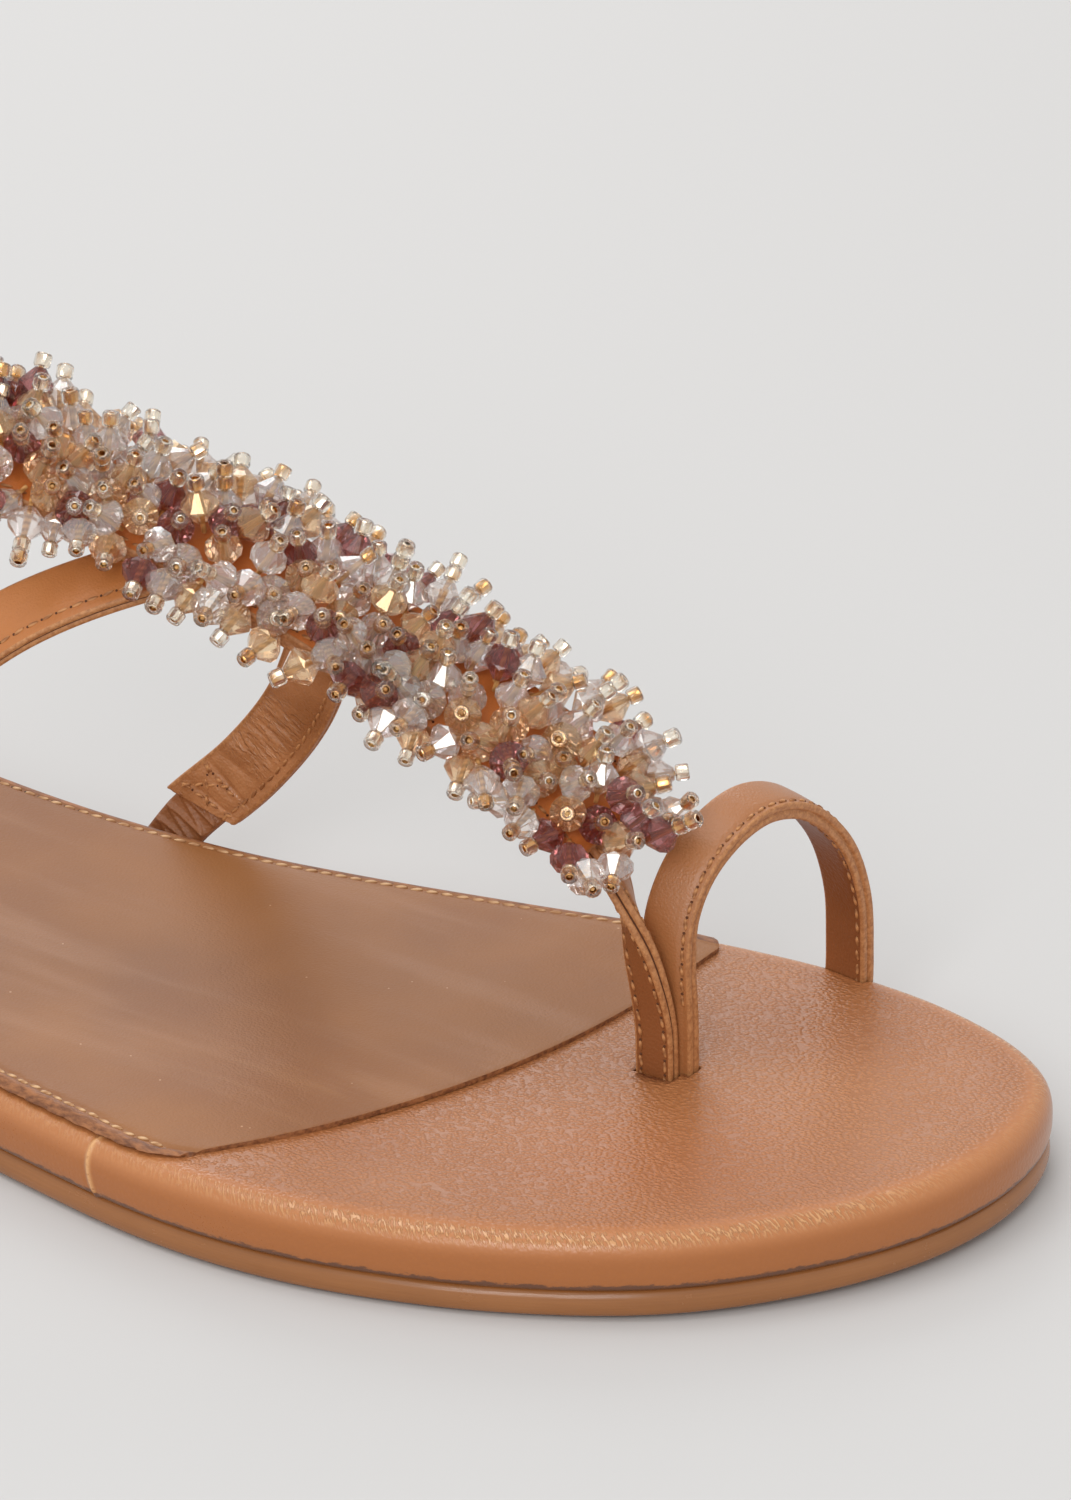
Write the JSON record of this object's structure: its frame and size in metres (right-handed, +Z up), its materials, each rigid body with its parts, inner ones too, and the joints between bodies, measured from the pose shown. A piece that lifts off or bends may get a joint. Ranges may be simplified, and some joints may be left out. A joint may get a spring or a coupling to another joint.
{
  "type": "flat sandal",
  "caption": "Flat leather slip-on sandal for the right foot with a toe ring, a thong, an instep bar covered in cut glass beads, and side straps to a thin sole.",
  "frame": {"origin": "on the floor, under the middle of the sandal's box", "axes": "+Z up from the floor, -Y towards the toe, +X towards the big-toe (medial) side"},
  "size_m": [0.079, 0.245, 0.0776],
  "materials": {
    "sole_leather": "polished cut edge, dark brown",
    "tan_leather": "pebbled tan nappa, satin",
    "sock_leather": "smooth matte brown",
    "elastic_and_thread": "ruched leather-brown elastic and tan thread",
    "cut_glass": "clear, champagne and plum cut glass with a bright coat"
  },
  "bodies": {
    "root": {"outsole": "sole_leather", "footbed": "tan_leather", "sock": "sock_leather", "upper": "tan_leather", "toe_ring": "tan_leather", "elastic_tab": "elastic_and_thread", "bead_cluster": "cut_glass"}
  },
  "joints": []
}
